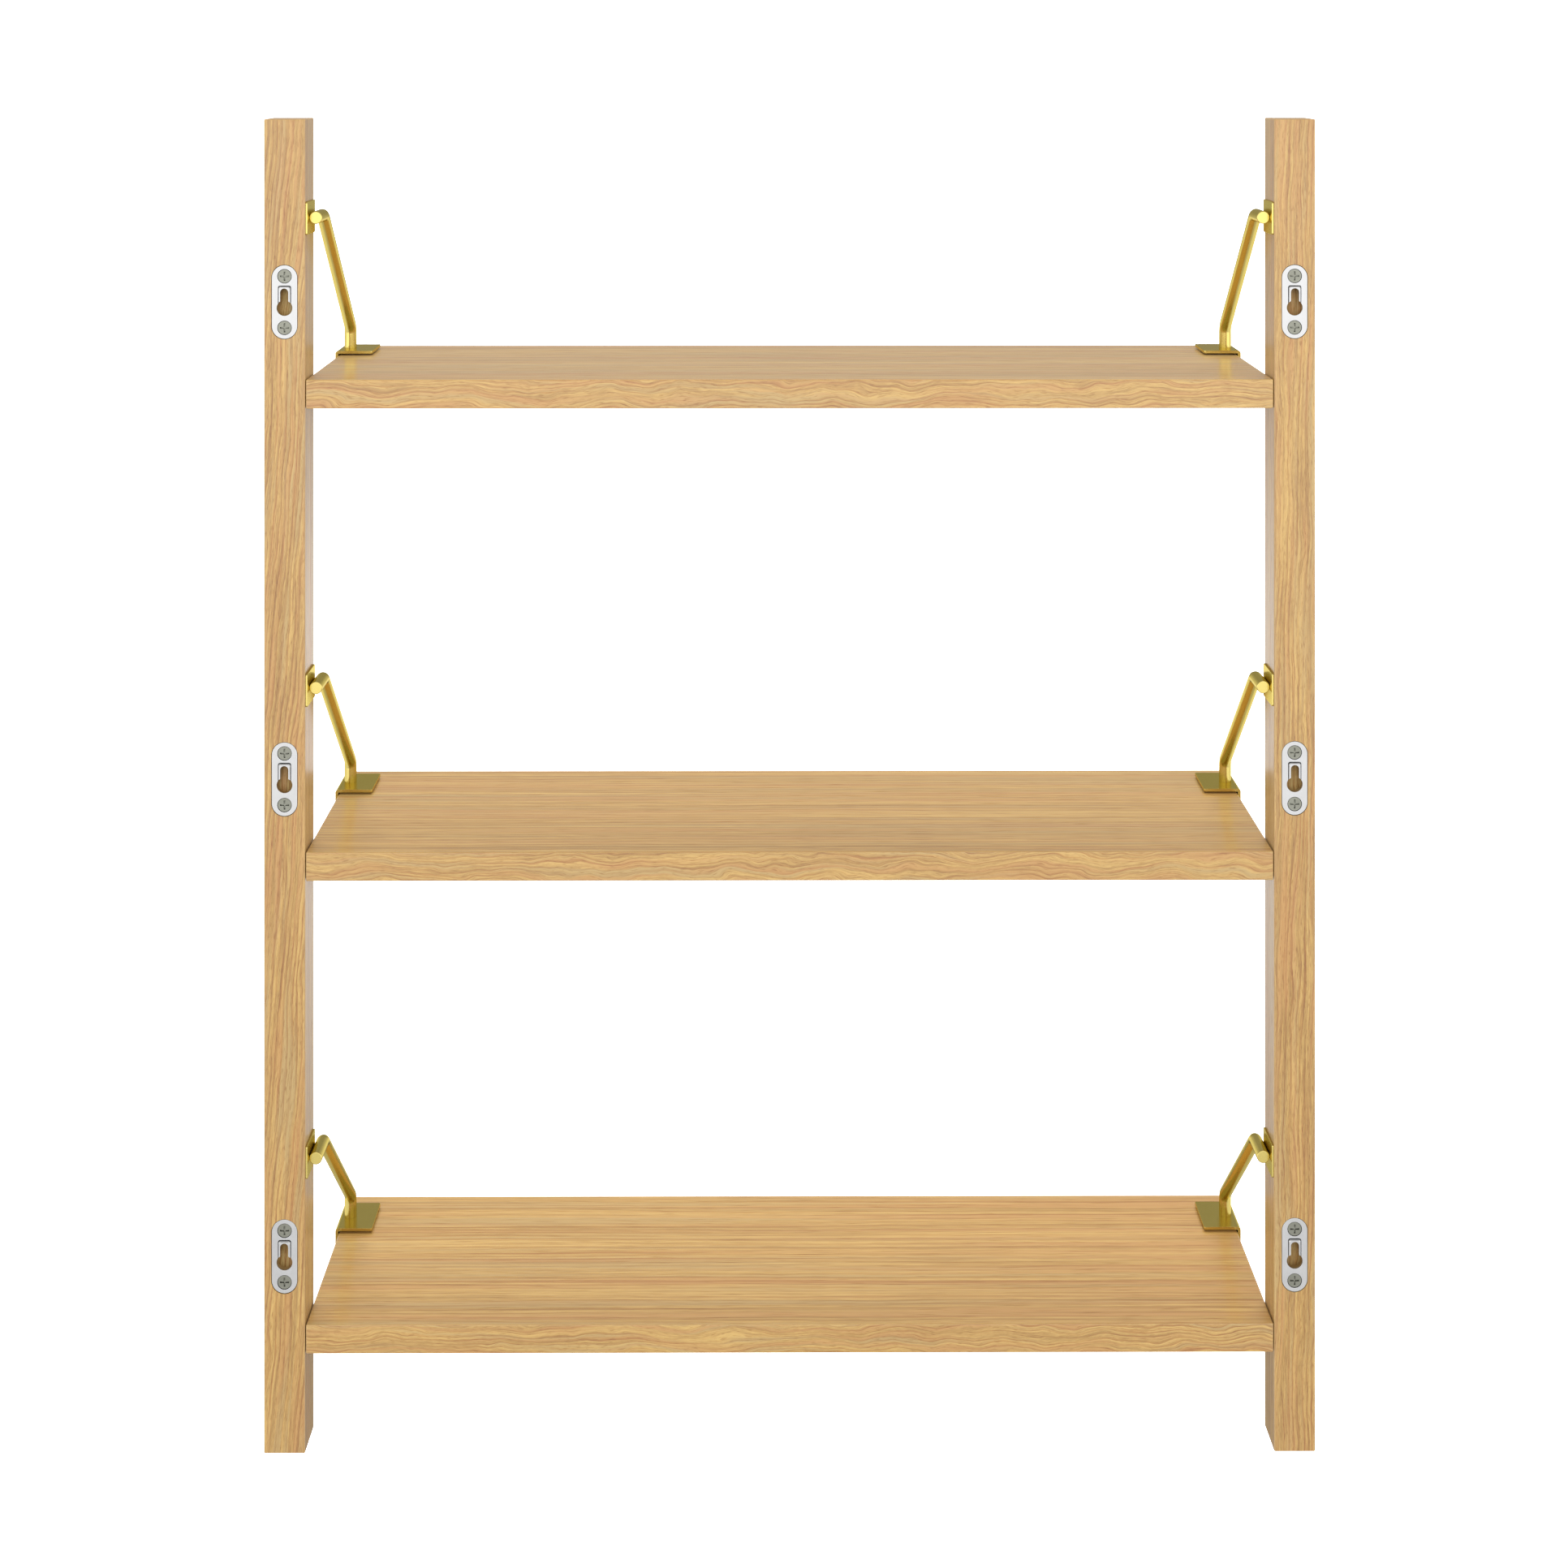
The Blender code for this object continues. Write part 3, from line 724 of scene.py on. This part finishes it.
# Boards and uprights. The grain runs along the first axis; the second is the width of the faces
# that look along Y, and the third that of the others. Faces and contrast give the values of the
# faces that look along Y, then of the others; faces holds the rate of the streaks, then the
# waves' rate along the grain and their height in millimetres.
BOARD = {
    "axes": (0, 2, 1), "lean": 0.0, "spacing": 2.6, "faces": ((1.1, 0.022, 20.0), (0.25, 0.004, 6.0)),
    "contrast": (1.15, 0.9), "lift": 0.10, "coat": 0.65, "sheen": 0.04,
}
UPRIGHT = {
    "axes": (2, 0, 1), "spacing": 3.0, "faces": ((1.2, 0.011, 10.0), (0.5, 0.006, 4.0)),
    "contrast": (1.15, 0.8), "lift": -0.05, "coat": 0.66, "sheen": 0.03,
}


def between_faces(tree, face, along_y, other):
    """A value that differs between the faces that look along Y and the others."""
    step = calc(tree, "SUBTRACT", along_y, other)
    return calc(tree, "ADD", calc(tree, "MULTIPLY", face, step), other)


def grain_noise(tree, place, seed, along, across, shift, detail, roughness=0.55):
    scales = (along, across, FACE_SHIFT)
    return noise(tree, stretched(tree, place, scales, seed + shift), 1.0, detail, roughness)


def grain_layer(tree, place, seed, layer):
    """How strongly a layer of the grain shows, from 0 to 1."""
    shape = {key: layer[key] for key in layer if key not in ("start", "full", "least", "most")}
    value = grain_noise(tree, place, seed, **shape)
    least, most = layer.get("least", 0.0), layer.get("most", 1.0)
    return limits(tree, value, layer["start"], layer["full"], least, most)


def grain_place(tree, axes, seed, lean, faces):
    """Distance along the grain, level across it, and which kind of face this is."""
    run, wide, side = own_place(tree, axes)
    normal = node(tree, "SeparateXYZ", Vector=node(tree, "TexCoord").outputs["Normal"])
    face = limits(tree, calc(tree, "ABSOLUTE", normal.outputs[1]), FACE_START, FACE_FULL)
    rate, wave_rate, wave_height = (between_faces(tree, face, a, b) for a, b in zip(*faces))
    level = between_faces(tree, face, calc(tree, "MULTIPLY_ADD", run, lean, wide), side)
    wave_place = (calc(tree, "MULTIPLY", run, wave_rate), level)
    wave = noise(tree, stretched(tree, wave_place, (1.0, WAVE_ACROSS), seed), 1.0, 2.0)
    wave = calc(tree, "MULTIPLY", calc(tree, "SUBTRACT", wave, 0.5), wave_height)
    level = calc(tree, "ADD", level, wave)
    level = calc(tree, "MULTIPLY", level, between_faces(tree, face, 1.0, SIDE_WIDENING))
    return calc(tree, "MULTIPLY", run, rate), level, face


def growth_rings(tree, place, seed, spacing):
    """Dark rings at about this spacing, each with one sharp and one soft edge."""
    jitter = calc(tree, "MULTIPLY", grain_noise(tree, place, seed, **RING_JITTER), JITTER_REACH)
    phase = calc(tree, "ADD", calc(tree, "DIVIDE", place[1], spacing), jitter)
    ring = ramp(tree, calc(tree, "FRACT", phase), RING_SECTION)
    return calc(tree, "MULTIPLY", ring, grain_layer(tree, place, seed, RING_STRENGTH))


def oak(name, seed, axes, lean, spacing, faces, contrast, lift, coat, sheen):
    """Lacquered oak, with lengths in millimetres."""
    material, tree, shader = new_material(name)
    place = grain_place(tree, axes, seed, lean, faces)
    ring = growth_rings(tree, place, seed, spacing)
    bands, streaks, lines, fibre, pores, warm, green = (
        grain_layer(tree, place, seed, layer)
        for layer in (BANDS, STREAKS, LINES, FIBRE, PORES, WARM, GREEN)
    )

    tone = calc(tree, "MULTIPLY", streaks, STREAKS_SHARE)
    tone = calc(tree, "MULTIPLY_ADD", bands, BANDS_SHARE, tone)
    fibre_tone = calc(tree, "MULTIPLY_ADD", fibre, FIBRE_SHARE, lift - TONE_MIDDLE)
    tone = calc(tree, "ADD", tone, fibre_tone, clamp=True)
    colour = blended(tree, tone, (*OAK_MID, 1), (*OAK_LIGHT, 1))
    colour = blended(tree, green, colour, (*OAK_OLIVE, 1))
    colour = blended(tree, warm, colour, (*OAK_ORANGE, 1))
    marks = (
        (lines, LINE_STRENGTH, LINE_TINT),
        (ring, RING_DARKNESS, RING_TINT),
        (pores, PORE_STRENGTH, PORE_TINT),
    )
    on_wide, on_side = contrast
    for share, strength, tint in marks:
        strength = between_faces(tree, place[2], strength * on_wide, strength * on_side)
        share = calc(tree, "MULTIPLY", share, strength)
        colour = blended(tree, share, colour, (*tint, 1), "MULTIPLY")
    # Painted highlight: sharp edges turn towards a lighter oak
    pointed = node(tree, "NewGeometry").outputs["Pointiness"]
    edges = limits(tree, pointed, OAK_HIGHLIGHT_START, OAK_HIGHLIGHT_FULL, to_high=OAK_HIGHLIGHT_SHARE)
    colour = blended(tree, edges, colour, (*OAK_EDGE_HIGHLIGHT, 1))
    feed(tree, shader.inputs["Base Color"], colour)

    rough = calc(tree, "MULTIPLY_ADD", fibre, FIBRE_ROUGHNESS, OAK_ROUGHNESS)
    rough = calc(tree, "ADD", rough, calc(tree, "MULTIPLY", pores, PORE_ROUGHNESS))
    feed(tree, shader.inputs["Roughness"], rough)
    hollow = calc(tree, "MULTIPLY", pores, PORE_DEPTH)
    height = calc(tree, "SUBTRACT", calc(tree, "MULTIPLY", fibre, FIBRE_HEIGHT), hollow)
    height = calc(tree, "SUBTRACT", height, calc(tree, "MULTIPLY", ring, RING_DEPTH_SHARE))
    bump = node(tree, "Bump", Height=height, Strength=0.25, Distance=OAK_BUMP)
    feed(tree, shader.inputs["Normal"], bump.outputs[0])
    shader.inputs["Specular IOR Level"].default_value = 0.36
    shader.inputs["Coat Weight"].default_value = coat
    shader.inputs["Coat Roughness"].default_value = 0.20
    shader.inputs["Coat IOR"].default_value = 1.65
    shader.inputs["Sheen Weight"].default_value = sheen
    shader.inputs["Sheen Roughness"].default_value = 0.30
    return material


def raw_oak(lacquered):
    """The same wood where it was cut and left bare: greyer and matt, and darker as painted shade in the
    cut hollows.
    """
    material = lacquered.copy()
    material.name = f"{lacquered.name}_raw"
    tree = material.node_tree
    shader = tree.nodes["Principled BSDF"]
    colour = shader.inputs["Base Color"].links[0].from_socket
    shaded = blended(tree, 1.0, colour, (*RAW_TINT_AND_PAINTED_SHADE, 1), "MULTIPLY")
    feed(tree, shader.inputs["Base Color"], shaded)
    shader.inputs["Coat Weight"].default_value = 0.0
    shader.inputs["Specular IOR Level"].default_value = 0.15
    return material


def metal(name, bright, dull, rough, scratch, grain, relief, crease, rim_tint=(1.0, 1.0, 1.0)):
    """Satin metal: a cloudy tone with fine brushing, a painted highlight on its edges and painted shade
    in its creases.
    """
    material, tree, shader = new_material(name)
    place = own_place(tree, (0, 1, 2))
    cloud = noise(tree, stretched(tree, place, (CLOUD_RATE,) * 3), 1.0, 3.0, 0.55)
    fine = noise(tree, stretched(tree, place, grain), 1.0, 3.0, 0.6)
    fine_tone = calc(tree, "MULTIPLY", fine, FINE_SHARE)
    tone = calc(tree, "ADD", calc(tree, "MULTIPLY", cloud, CLOUD_SHARE), fine_tone)
    tone = limits(tree, tone, DULL_BELOW, BRIGHT_ABOVE)
    colour = blended(tree, tone, (*dull, 1), (*bright, 1))
    # Painted highlight: the colour is lifted on sharp edges
    pointed = node(tree, "NewGeometry").outputs["Pointiness"]
    edges = limits(tree, pointed, EDGE_HIGHLIGHT_START, EDGE_HIGHLIGHT_FULL, to_high=EDGE_HIGHLIGHT_SHARE)
    painted_edge_highlight = tuple(min(1.0, c * EDGE_HIGHLIGHT_LIFT) for c in bright)
    colour = blended(tree, edges, colour, (*painted_edge_highlight, 1))
    # Painted shade: ambient occlusion darkens the colour in the piece's own creases and round its screw
    # holes
    hollow = node(tree, "AmbientOcclusion", {"samples": 8, "only_local": True}, Distance=PAINTED_SHADE_REACH)
    painted_crease_shade = limits(tree, hollow.outputs["AO"], PAINTED_SHADE_DARK, PAINTED_SHADE_CLEAR, to_low=crease)
    shade = node(tree, "CombineColor", Red=painted_crease_shade, Green=painted_crease_shade, Blue=painted_crease_shade)
    colour = blended(tree, 1.0, colour, shade.outputs[0], "MULTIPLY")
    feed(tree, shader.inputs["Base Color"], colour)
    shader.inputs["Metallic"].default_value = 1.0
    roughness = calc(tree, "MULTIPLY_ADD", calc(tree, "SUBTRACT", fine, 0.5), scratch, rough)
    cloudy = calc(tree, "MULTIPLY_ADD", cloud, CLOUD_ROUGHNESS, -CLOUD_ROUGHNESS / 2)
    roughness = calc(tree, "ADD", roughness, cloudy)
    feed(tree, shader.inputs["Roughness"], roughness)
    bump = node(tree, "Bump", Height=fine, Strength=relief, Distance=METAL_BUMP)
    feed(tree, shader.inputs["Normal"], bump.outputs[0])
    shader.inputs["Specular Tint"].default_value = (*rim_tint, 1)
    return material


# ---------------------------------------------------------------- putting it together


def add_piece(node_name, mesh, material, bare=None):
    """A finished piece that stands for a CAD node; its cut hollows take the bare material, darkened as
    painted shade.
    """
    mesh.materials.clear()
    mesh.materials.append(material)
    low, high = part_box(node_name)
    if bare:
        mesh.materials.append(bare)
    for face in mesh.polygons:
        inside = all(a + CUT_MARGIN < c < b - CUT_MARGIN for a, c, b in zip(low, face.center, high))
        face.material_index = 1 if bare and inside else 0
    mesh.shade_smooth()
    mesh.set_sharp_from_angle(angle=SMOOTH_ANGLE)
    piece = bpy.data.objects.new(f"{node_name}_finished", mesh)
    bpy.context.collection.objects.link(piece)
    even = piece.modifiers.new("even_shading", "WEIGHTED_NORMAL")
    even.keep_sharp = True
    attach(piece, "root")
    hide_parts(node_name)


def build_pieces():
    brass = metal("brass_satin", **BRASS)
    steel = metal("hanger_steel_satin", **HANGER_STEEL)
    screw = metal("screw_steel_satin", **SCREW_STEEL)

    for tier, seed in (("top", 11.3), ("middle", 53.9), ("bottom", 97.1)):
        wood = oak(f"oak_{tier}_board", seed, **BOARD)
        add_piece(f"shelf_{tier}", shelf_mesh(tier), wood, raw_oak(wood))
    for (side_name, side), seed, lean in zip(SIDES, (23.7, 71.3), (0.020, 0.075)):
        wood = oak(f"oak_{side_name}_upright", seed, lean=lean, **UPRIGHT)
        add_piece(f"upright_{side_name}", upright_mesh(side_name, side), wood, raw_oak(wood))

    hanger_screw = screw_mesh(HANGER_SCREW, cross_cutter(CROSS_ARM))
    shelf_screw = screw_mesh(SHELF_SCREW, socket_cutter())
    plate_screw = screw_mesh(PLATE_SCREW, socket_cutter())
    clip_screw = screw_mesh(CLIP_SCREW, cross_cutter(SMALL_CROSS_ARM))
    for side_name, side in SIDES:
        for tier in TIERS:
            which = f"{tier}_{side_name}"
            add_piece(f"side_plate_{which}", side_plate_mesh(which, side), brass)
            add_piece(f"bracket_rod_{which}", rod_mesh(which, side), brass)
            add_piece(f"shelf_clip_{which}", clip_mesh(which, side), brass)
            for kind, mesh, look, slot in (
                ("shelf_screw", shelf_screw, screw, "screw_steel"),
                ("plate_screw", plate_screw, brass, "brass"),
                ("clip_screw", clip_screw, brass, "brass"),
            ):
                name = f"{kind}_{which}"
                add_piece(name, moved(mesh, facing_out(name, side)), look)
            add_piece(f"hanger_{which}", hanger_mesh(which), steel)
            for end in ("upper", "lower"):
                name = f"hanger_screw_{which}_{end}"
                add_piece(name, moved(hanger_screw, facing_wall(name)), screw)


# ---------------------------------------------------------------- stage, light and camera

# The floor's section, as (radius, height), and how far it lies under the object
FLOOR_SECTION = ((0.5, 0.0), (16.0, 0.0), (19.0, 0.8), (21.0, 3.0), (22.0, 7.0), (22.5, 22.0))
FLOOR_DROP = 0.9
FLOOR_SIDES = 96
FLOOR_GREY = (0.94, 0.94, 0.94)
FLOOR_LIGHT = (0.96, 0.96, 0.96)

# Radiance of the studio by height of the direction (its z), on three sides of the object
BEHIND_CAMERA = (
    (-1.0, 0.19), (-0.66, 0.44), (-0.47, 0.98), (-0.29, 1.57),
    (-0.08, 2.26), (0.08, 1.93), (0.30, 0.83), (1.0, 0.62),
)
BEYOND_SHELF = (
    (-1.0, 0.69), (-0.75, 0.58), (-0.61, 0.06), (-0.50, 0.06), (-0.43, 0.62),
    (-0.34, 1.16), (-0.25, 1.36), (-0.16, 0.50), (0.02, 0.34), (1.0, 0.50),
)
BESIDE_SHELF = (
    (-1.0, 0.69), (-0.88, 1.03), (-0.76, 1.17), (-0.30, 1.17),
    (0.0, 0.97), (0.2, 0.62), (1.0, 0.62),
)
BRIGHTEST = 3.0
# Sideways part (x) of the direction, where the far side turns into the sides
SIDE_START = 0.24
SIDE_FULL = 0.42
# Where the far side turns into the side behind the camera; the border leans with the height
NEAR_LEAN = 0.7
NEAR_START = -0.2
NEAR_FULL = 0.45

OVERHEAD_POWER = 3.17
OVERHEAD_ANGLE = math.radians(60)
OVERHEAD_TILT = math.radians(38)
KEY_POWER = 24.8
KEY_SIZE = (2.0, 1.0)
KEY_PLACE = (0.0, 1.9, 1.30)
KEY_TARGET = Vector((0, 0, 0.3))

CAMERA_PLACE = (0.0140, 1.3514, 0.4603)
CAMERA_TURN = math.radians(179.827)


def build_floor():
    """Wide pale floor that curves up far away; it is shown and shaded but adds no light."""
    rings = []
    for radius, height in FLOOR_SECTION:
        angles = [2 * math.pi * i / FLOOR_SIDES for i in range(FLOOR_SIDES)]
        level = cad_low.z - FLOOR_DROP + height
        rings.append([Vector((radius * math.cos(a), radius * math.sin(a), level)) for a in angles])
    builder = bmesh.new()
    loops = [[builder.verts.new(point) for point in ring] for ring in rings]
    for low, high in zip(loops, loops[1:]):
        for i, _ in enumerate(low):
            j = (i + 1) % len(low)
            builder.faces.new((low[i], low[j], high[j], high[i]))
    builder.faces.new(loops[0])
    floor_mesh = finish_mesh("floor", builder)
    floor_mesh.shade_smooth()
    floor = bpy.data.objects.new("floor", floor_mesh)
    bpy.context.collection.objects.link(floor)
    material, tree, shader = new_material("pale_floor")
    cloud = noise(tree, stretched(tree, own_place(tree, (0, 1, 2)), (0.002, 0.002, 0.002)), 1.0, 2.0)
    colour = blended(tree, cloud, (*FLOOR_GREY, 1), (*FLOOR_LIGHT, 1))
    feed(tree, shader.inputs["Base Color"], colour)
    shader.inputs["Roughness"].default_value = 1.0
    shader.inputs["Specular IOR Level"].default_value = 0.0
    shader.inputs["Emission Color"].default_value = (1.0, 1.0, 1.0, 1)
    shader.inputs["Emission Strength"].default_value = 0.9
    floor_mesh.materials.append(material)
    floor.visible_diffuse = False
    floor.visible_glossy = False
    floor.visible_shadow = False


def build_world():
    """Studio light from all round: brightest behind the camera, dim above the far side."""
    world = bpy.data.worlds.new("studio")
    bpy.context.scene.world = world
    world.use_nodes = True
    tree = world.node_tree
    split = node(tree, "SeparateXYZ", Vector=node(tree, "TexCoord").outputs["Generated"])
    height = calc(tree, "MULTIPLY_ADD", split.outputs[2], 0.5, 0.5)
    near, far, beside = (
        ramp(tree, height, [(z / 2 + 0.5, level / BRIGHTEST) for z, level in levels])
        for levels in (BEHIND_CAMERA, BEYOND_SHELF, BESIDE_SHELF)
    )
    sideways = calc(tree, "ABSOLUTE", split.outputs[0])
    far = blended(tree, limits(tree, sideways, SIDE_START, SIDE_FULL), far, beside)
    facing = calc(tree, "MULTIPLY_ADD", split.outputs[2], NEAR_LEAN, split.outputs[1])
    nearness = limits(tree, facing, NEAR_START, NEAR_FULL)
    level = calc(tree, "MULTIPLY", blended(tree, nearness, far, near), BRIGHTEST)
    background = tree.nodes["Background"]
    feed(tree, background.inputs["Strength"], level)
    background.inputs["Color"].default_value = (1.0, 1.0, 1.0, 1)


def build_lights():
    lamp = bpy.data.lights.new("overhead", "SUN")
    lamp.energy = OVERHEAD_POWER
    lamp.angle = OVERHEAD_ANGLE
    overhead = bpy.data.objects.new("overhead", lamp)
    overhead.rotation_euler = (OVERHEAD_TILT, 0, 0)
    overhead.visible_glossy = False
    bpy.context.collection.objects.link(overhead)

    lamp = bpy.data.lights.new("key", "AREA")
    lamp.shape = "RECTANGLE"
    lamp.size, lamp.size_y = KEY_SIZE
    lamp.energy = KEY_POWER
    key = bpy.data.objects.new("key", lamp)
    key.visible_camera = False
    key.visible_glossy = False
    key.location = KEY_PLACE
    aim = KEY_TARGET - key.location
    key.rotation_euler = aim.to_track_quat("-Z", "Y").to_euler()
    bpy.context.collection.objects.link(key)


def build_camera():
    lens = bpy.data.cameras.new("camera")
    lens.lens = 50.0
    lens.sensor_width = 36.0
    lens.shift_x = 0.0064
    lens.shift_y = -0.4763
    lens.clip_start = 0.05
    lens.clip_end = 1000.0
    camera = bpy.data.objects.new("camera", lens)
    camera.location = CAMERA_PLACE
    camera.rotation_euler = (math.pi / 2, 0, CAMERA_TURN)
    bpy.context.collection.objects.link(camera)
    bpy.context.scene.camera = camera


build_pieces()
build_floor()
build_world()
build_lights()
build_camera()
bpy.context.scene.view_settings.view_transform = "Standard"
bpy.context.scene.view_settings.look = "None"
